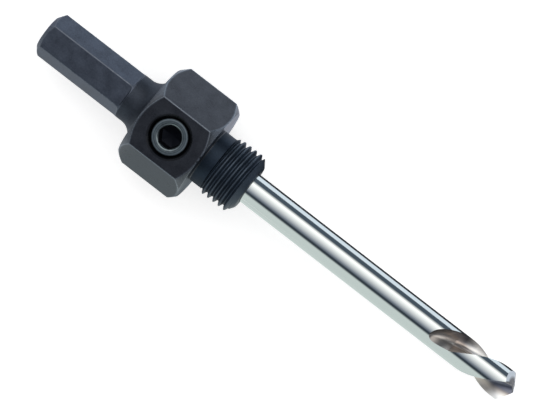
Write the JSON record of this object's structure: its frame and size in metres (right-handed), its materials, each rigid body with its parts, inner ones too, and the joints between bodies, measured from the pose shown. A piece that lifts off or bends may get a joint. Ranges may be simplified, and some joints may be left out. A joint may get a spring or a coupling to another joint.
{
  "type": "hole saw arbor",
  "caption": "Hole saw arbor: a hexagonal shank and collar with a threaded boss for the saw, a straight pilot drill through it and a grub screw that clamps the drill.",
  "frame": {"origin": "on the axis, in the collar's front face, where the saw's back plate seats", "axes": "+X along the axis towards the drill's tip, +Z out of the collar flat that holds the grub screw, which is upwards as the part lies on the opposite flat"},
  "size_m": [0.1113, 0.0226, 0.0196],
  "materials": {
    "black_oxide_steel": "black oxide, satin",
    "ground_steel": "ground bright, heat tinted in the flutes",
    "screw_steel": "black oxide, rubbed"
  },
  "bodies": {
    "body": {"arbor_body": "black_oxide_steel"},
    "drill": {"pilot_drill": "ground_steel"},
    "screw": {"grub_screw": "screw_steel"}
  },
  "joints": [
    {"name": "drill_slide", "type": "slide", "parent": "body", "child": "drill", "axis": [1, 0, 0], "range_m": [0, 0.02]},
    {"name": "screw_travel", "type": "slide", "parent": "body", "child": "screw", "axis": [0, 0, 1], "range_m": [0, 0.00375]}
  ]
}
